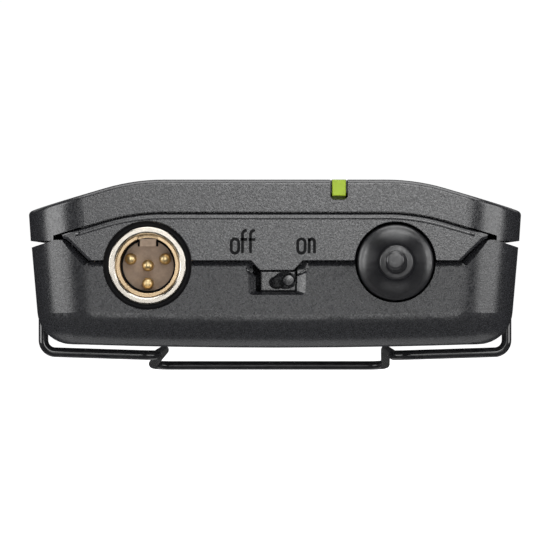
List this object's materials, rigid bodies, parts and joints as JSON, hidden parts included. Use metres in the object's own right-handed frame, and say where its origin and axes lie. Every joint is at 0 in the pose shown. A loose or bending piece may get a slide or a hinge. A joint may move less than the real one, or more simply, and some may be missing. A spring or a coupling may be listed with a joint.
{
  "type": "wireless bodypack transmitter",
  "caption": "Slim wireless bodypack transmitter with hinged battery door, multi-pin microphone socket, slide switch, whip antenna and wire belt clip.",
  "frame": {"origin": "centre of the bounding box's bottom face: on the surface the pack lies on, at the lowest line of the wire clip", "axes": "+X across the pack, to the right when the connector end is seen with the front cover up; +Y from the antenna end towards the far end; +Z out of the front cover"},
  "size_m": [0.0648, 0.166, 0.0266],
  "materials": {
    "body_plastic": "fine spark-textured moulded ABS, dark grey",
    "black_plastic": "smooth black moulded plastic",
    "switch_plastic": "satin black moulded plastic",
    "connector_nickel": "satin nickel plate with a warm tint",
    "insulator": "brown-grey moulded insulator",
    "gold_contact": "gold plated contacts",
    "lead_insulation": "soft insulated lead",
    "light_pipe": "translucent lime green light pipe",
    "led_body": "clear lens on a small surface-mount lamp",
    "antenna_rubber": "matt black over-moulded rubber",
    "spring_steel": "nickel plated spring steel",
    "circuit_board": "green solder resist",
    "tin_can": "tinned shield can",
    "chip_plastic": "black moulded component bodies",
    "button_rubber": "grey silicone button",
    "rotor_plastic": "ivory trimmer rotor",
    "display_face": "dark numeric display face",
    "clear_window": "smoked clear window",
    "cell_wrap": "plain printed cell sleeve",
    "foam": "black closed-cell foam",
    "pin_steel": "plain steel pin",
    "clip_wire": "gloss black coated spring wire",
    "screw_steel": "dark zinc plated screw"
  },
  "bodies": {
    "housing": {"rear_housing": "body_plastic", "front_bezel": "body_plastic", "end_trim_panel": "body_plastic", "connector_shell": "connector_nickel", "connector_surround": "black_plastic", "connector_insulator": "insulator", "connector_pins": "gold_contact", "connector_nut": "connector_nickel", "connector_leads": "lead_insulation", "slide_switch_body": "black_plastic", "led_light_pipe": "light_pipe", "power_led": "led_body", "antenna_boot": "antenna_rubber", "antenna_ferrule": "gold_contact", "antenna_contact": "spring_steel", "main_pcb": "circuit_board", "control_board": "circuit_board", "rf_shield": "tin_can", "smd_components": "chip_plastic", "control_deck": "black_plastic", "tact_switches": "chip_plastic", "gain_trimmer": "chip_plastic", "channel_display": "display_face", "display_window": "clear_window", "battery_left": "cell_wrap", "battery_right": "cell_wrap", "battery_contacts": "spring_steel", "battery_springs": "spring_steel", "door_hinge_pin": "pin_steel", "clip_bushes": "black_plastic", "housing_screws": "screw_steel", "pcb_screws": "screw_steel", "deck_screws": "screw_steel"},
    "battery_door": {"battery_door": "body_plastic", "door_foam_pad": "foam"},
    "latch_left": {"latch_left": "body_plastic"},
    "latch_right": {"latch_right": "body_plastic"},
    "power_switch": {"power_slider": "switch_plastic", "slide_switch_stem": "black_plastic"},
    "group_button": {"group_button": "button_rubber"},
    "channel_button": {"channel_button": "button_rubber"},
    "gain_rotor": {"gain_rotor": "rotor_plastic"},
    "belt_clip": {"belt_clip": "clip_wire"},
    "antenna_whip": {"antenna_whip": "antenna_rubber", "antenna_core": "spring_steel"}
  },
  "joints": [
    {"name": "door_hinge", "type": "hinge", "parent": "housing", "child": "battery_door", "pos_m": [0, 0.0814, 0.01685], "axis": [-1, 0, 0], "range_deg": [0, 90]},
    {"name": "latch_left_press", "type": "slide", "parent": "battery_door", "child": "latch_left", "axis": [1, 0, 0], "range_m": [0, 0.001], "stiffness_N_per_m": 300, "springref_m": -0.001},
    {"name": "latch_right_press", "type": "slide", "parent": "battery_door", "child": "latch_right", "axis": [-1, 0, 0], "range_m": [0, 0.001], "stiffness_N_per_m": 300, "springref_m": -0.001},
    {"name": "power_slide", "type": "slide", "parent": "housing", "child": "power_switch", "axis": [-1, 0, 0], "range_m": [0, 0.002]},
    {"name": "group_press", "type": "slide", "parent": "housing", "child": "group_button", "axis": [0, 0, -1], "range_m": [0, 0.00045], "stiffness_N_per_m": 600, "springref_m": -0.0003},
    {"name": "channel_press", "type": "slide", "parent": "housing", "child": "channel_button", "axis": [0, 0, -1], "range_m": [0, 0.00045], "stiffness_N_per_m": 600, "springref_m": -0.0003},
    {"name": "gain_turn", "type": "hinge", "parent": "housing", "child": "gain_rotor", "pos_m": [0.016, 0.0158, 0.0205], "axis": [0, 0, 1], "range_deg": [-135, 135]},
    {"name": "clip_hinge", "type": "hinge", "parent": "housing", "child": "belt_clip", "pos_m": [0, -0.008, 0.012], "axis": [-1, 0, 0], "range_deg": [0, 10], "stiffness_Nm_per_rad": 0.6, "springref_deg": -22.92},
    {"name": "antenna_flex", "type": "hinge", "parent": "housing", "child": "antenna_whip", "pos_m": [0.01567, -0.0255, 0.01578], "axis": [0, 0, 1], "range_deg": [-30, 30], "stiffness_Nm_per_rad": 0.03}
  ]
}
